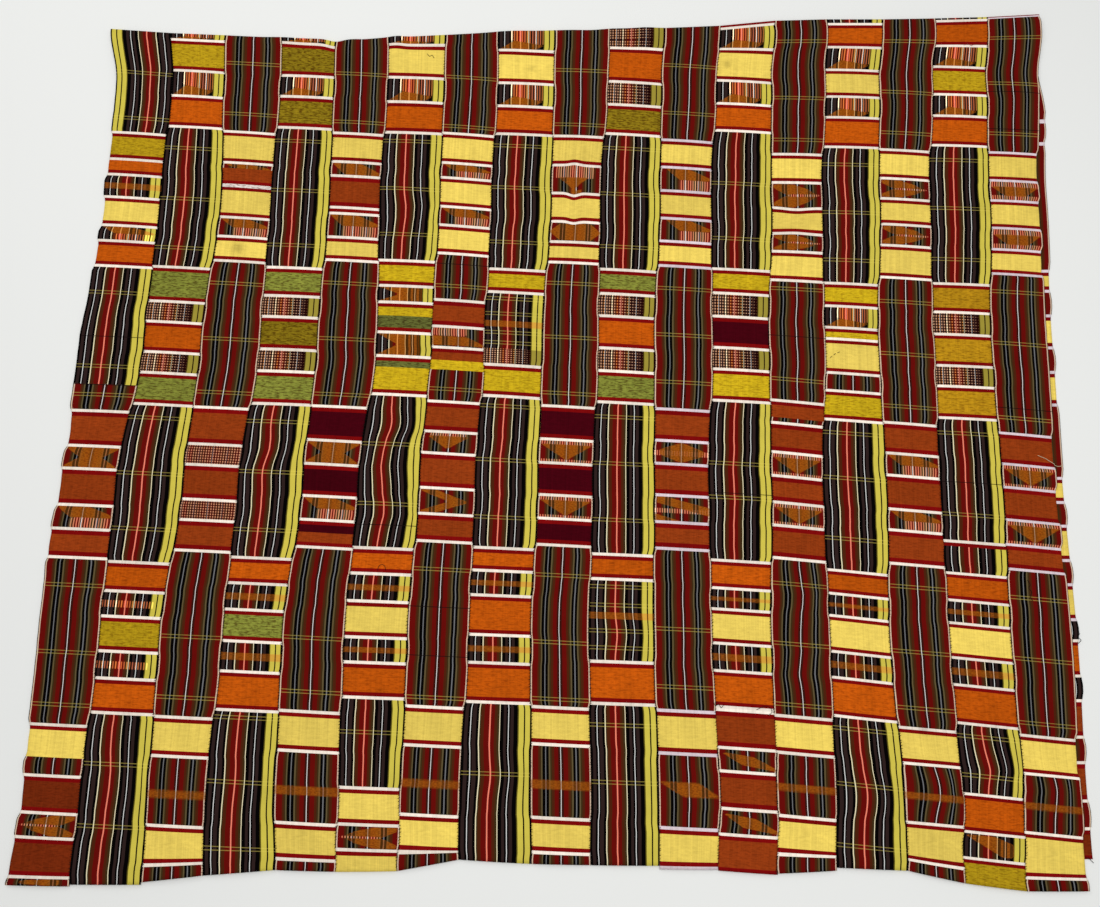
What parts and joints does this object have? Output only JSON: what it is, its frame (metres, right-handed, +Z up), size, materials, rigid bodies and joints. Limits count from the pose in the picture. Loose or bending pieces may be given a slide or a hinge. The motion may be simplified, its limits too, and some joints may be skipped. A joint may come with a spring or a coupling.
{
  "type": "folded strip-woven kente cloth",
  "caption": "Large strip-woven kente cloth, its narrow patterned strips sewn edge to edge, folded once and laid flat.",
  "frame": {"origin": "on the surface the cloth lies on, under the middle of its outline's box", "axes": "+X across the strips to the right, +Y along the strips from the open ends to the fold, +Z up"},
  "size_m": [1.9278, 1.666, 0.01],
  "materials": {
    "black_warp_cotton": "hand-woven cotton, black striped warp with patterned weft blocks, matt",
    "red_warp_cotton": "hand-woven cotton, red striped warp with patterned weft blocks, matt"
  },
  "bodies": {
    "root": {"strip_01": "black_warp_cotton", "strip_02": "black_warp_cotton", "strip_03": "red_warp_cotton", "strip_04": "black_warp_cotton", "strip_05": "red_warp_cotton", "strip_06": "black_warp_cotton", "strip_07": "red_warp_cotton", "strip_08": "black_warp_cotton", "strip_09": "red_warp_cotton", "strip_10": "black_warp_cotton", "strip_11": "red_warp_cotton", "strip_12": "black_warp_cotton", "strip_13": "red_warp_cotton", "strip_14": "black_warp_cotton", "strip_15": "red_warp_cotton", "strip_16": "black_warp_cotton", "strip_17": "red_warp_cotton"}
  },
  "joints": []
}
